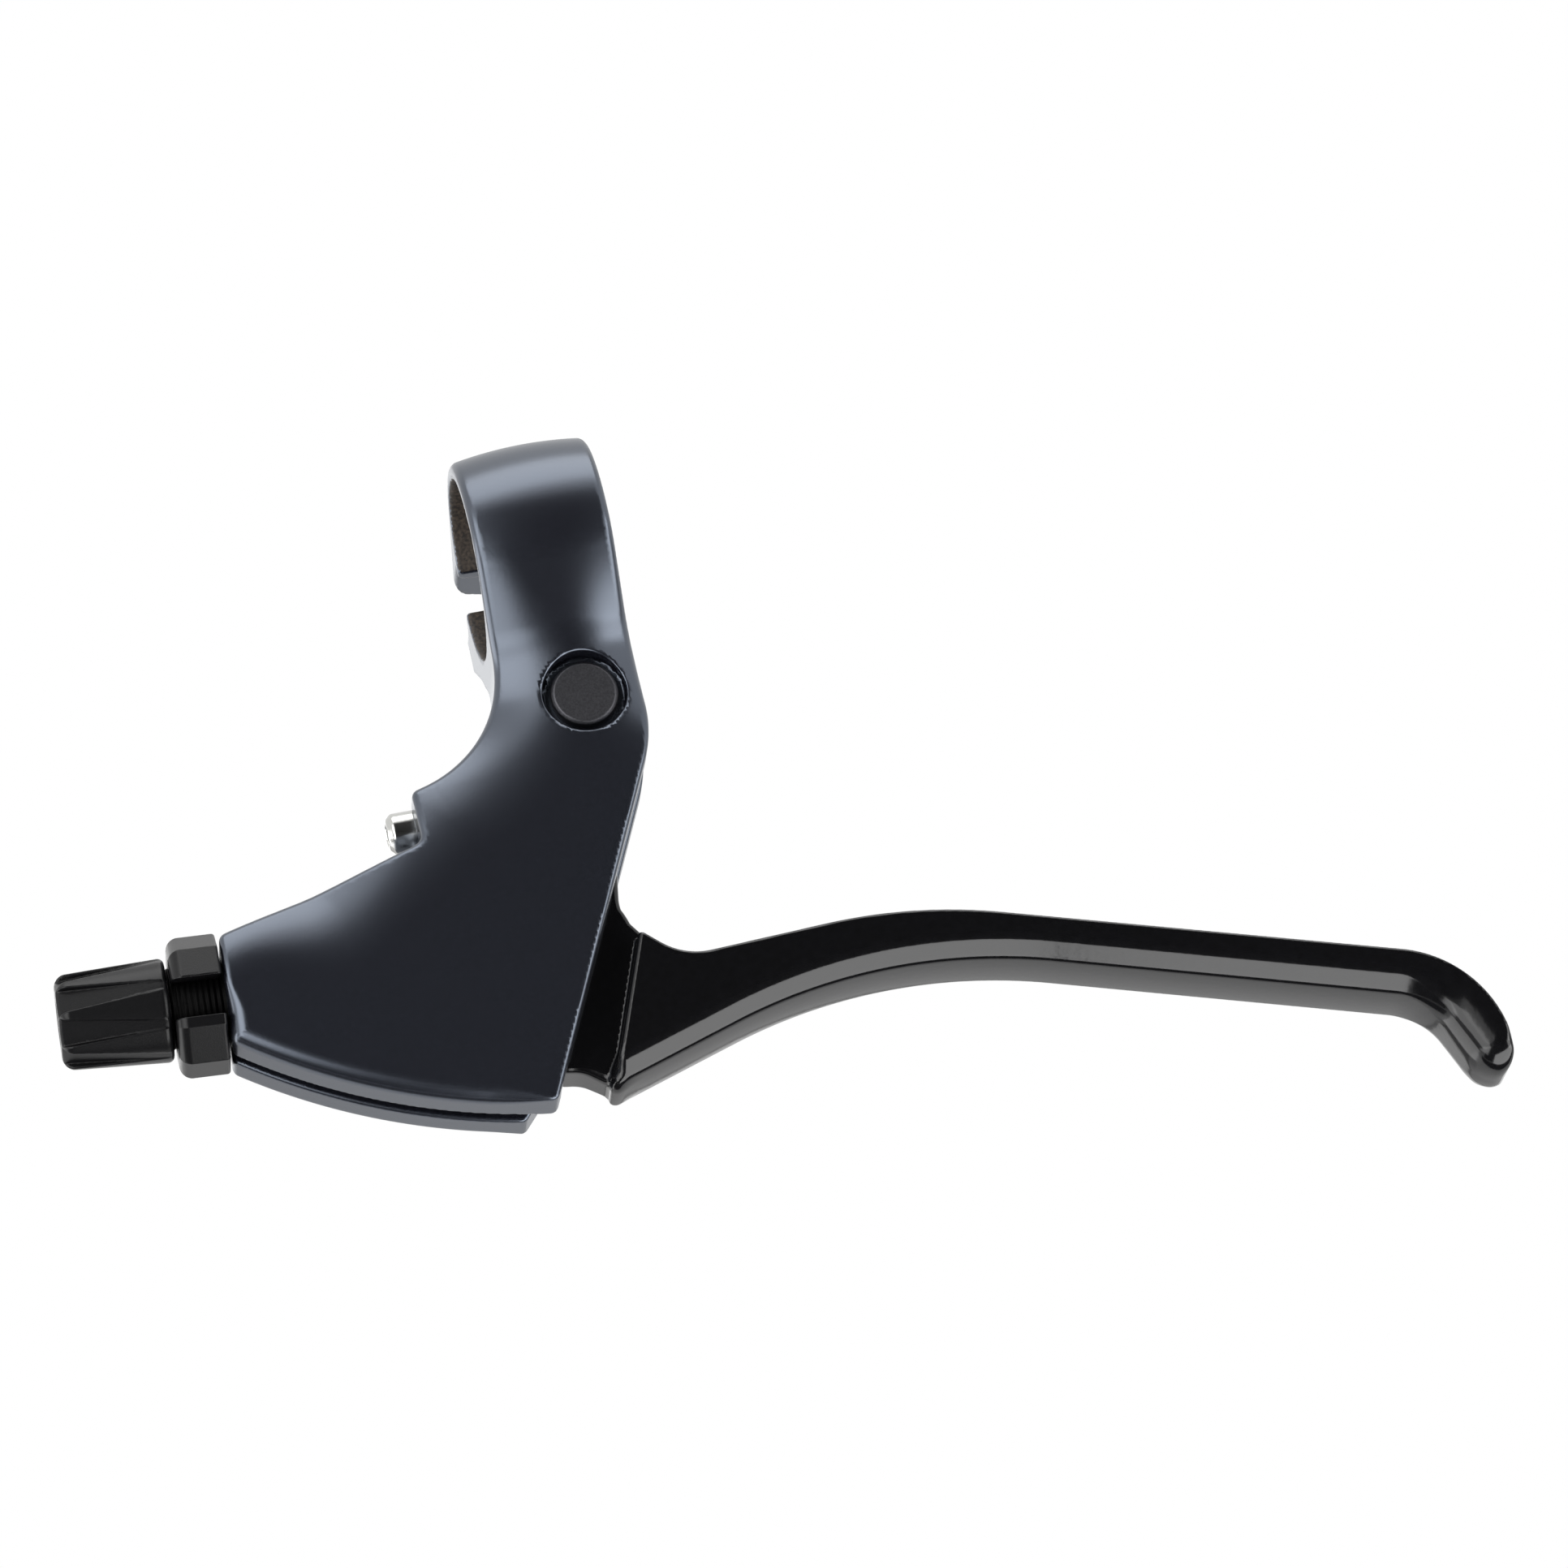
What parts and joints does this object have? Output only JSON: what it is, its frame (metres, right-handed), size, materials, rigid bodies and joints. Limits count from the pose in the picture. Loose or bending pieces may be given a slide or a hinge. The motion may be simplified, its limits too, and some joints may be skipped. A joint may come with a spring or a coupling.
{
  "type": "bicycle brake lever",
  "caption": "Flat-bar bicycle brake lever: split bar clamp on a hollow cast bracket, long curved finger blade on a pivot pin, reach screw and fluted cable adjuster with a lock ring.",
  "frame": {"origin": "middle of the handlebar clamp's bore", "axes": "+X along the handlebar towards the lever's tip, +Z from the lever across the bar, +Y away from the plain side of the bracket; the lever swings in the XZ plane"},
  "size_m": [0.1695, 0.0339, 0.1023],
  "materials": {
    "bracket_paint": "satin anthracite paint with a fine sparkle on cast aluminium",
    "blade_paint": "gloss black paint on forged aluminium",
    "bush_plastic": "plain bearing plastic",
    "axle_steel": "black-oxide steel",
    "bright_steel": "zinc-plated steel",
    "adjuster_plastic": "fine-grained black plastic"
  },
  "bodies": {
    "bracket_body": {"bracket": "bracket_paint", "pivot_axle": "axle_steel", "axle_clip": "axle_steel", "clamp_bolt": "bright_steel"},
    "lever_body": {"lever_blade": "blade_paint", "pivot_bush_near": "bush_plastic", "pivot_bush_far": "bush_plastic"},
    "adjuster_body": {"barrel_adjuster": "adjuster_plastic"},
    "lock_ring_body": {"lock_ring": "adjuster_plastic"},
    "reach_screw_body": {"reach_screw": "bright_steel"}
  },
  "joints": [
    {"name": "lever_pivot", "type": "hinge", "parent": "bracket_body", "child": "lever_body", "pos_m": [0.0014, 0, -0.0214], "axis": [0, -1, 0], "range_deg": [0, 30]},
    {"name": "adjuster_turn", "type": "hinge", "parent": "bracket_body", "child": "adjuster_body", "pos_m": [-0.0478, 0, -0.0495], "axis": [-0.9981, 0, 0.061], "continuous": true},
    {"name": "lock_ring_turn", "type": "hinge", "parent": "bracket_body", "child": "lock_ring_body", "pos_m": [-0.05109, 0, -0.0493], "axis": [-0.9981, 0, 0.061], "continuous": true},
    {"name": "reach_screw_turn", "type": "hinge", "parent": "bracket_body", "child": "reach_screw_body", "pos_m": [-0.0214, 0, -0.0322], "axis": [1, 0, 0], "continuous": true}
  ]
}
